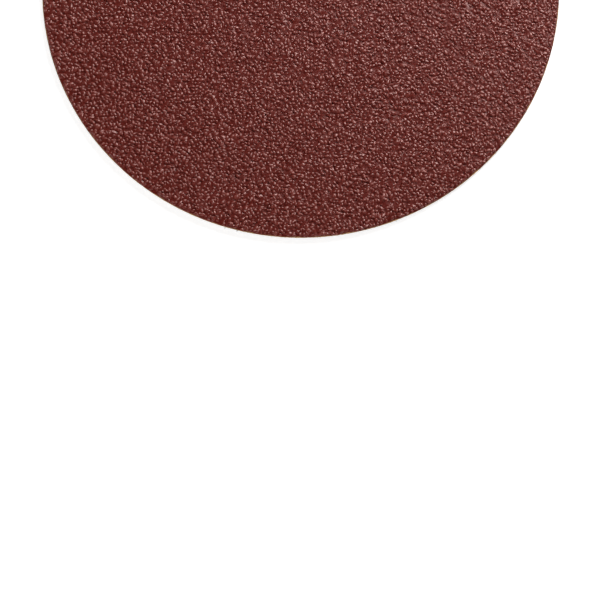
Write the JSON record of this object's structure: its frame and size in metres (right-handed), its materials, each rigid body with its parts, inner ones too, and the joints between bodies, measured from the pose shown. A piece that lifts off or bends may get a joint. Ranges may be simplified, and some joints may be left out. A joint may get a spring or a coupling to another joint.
{
  "type": "hook and loop sanding disc",
  "caption": "Round coarse-grit sanding disc on paper, with a loop fabric on its back that grips the hooks of a sanding pad. It has no dust holes.",
  "frame": {"origin": "centre of the underside, where the tips of the loops rest", "axes": "+Z out of the grit face, the rows of loops along Y"},
  "size_m": [0.125, 0.125, 0.0022],
  "materials": {
    "bonded_grit": "red-brown mineral grit under a glossy resin coat",
    "paper": "matte tan paper, seen at its cut edge",
    "loop_fabric": "off-white brushed loops in fine rows"
  },
  "bodies": {
    "root": {"grit_coat": "bonded_grit", "paper_backing": "paper", "loop_backing": "loop_fabric"}
  },
  "joints": []
}
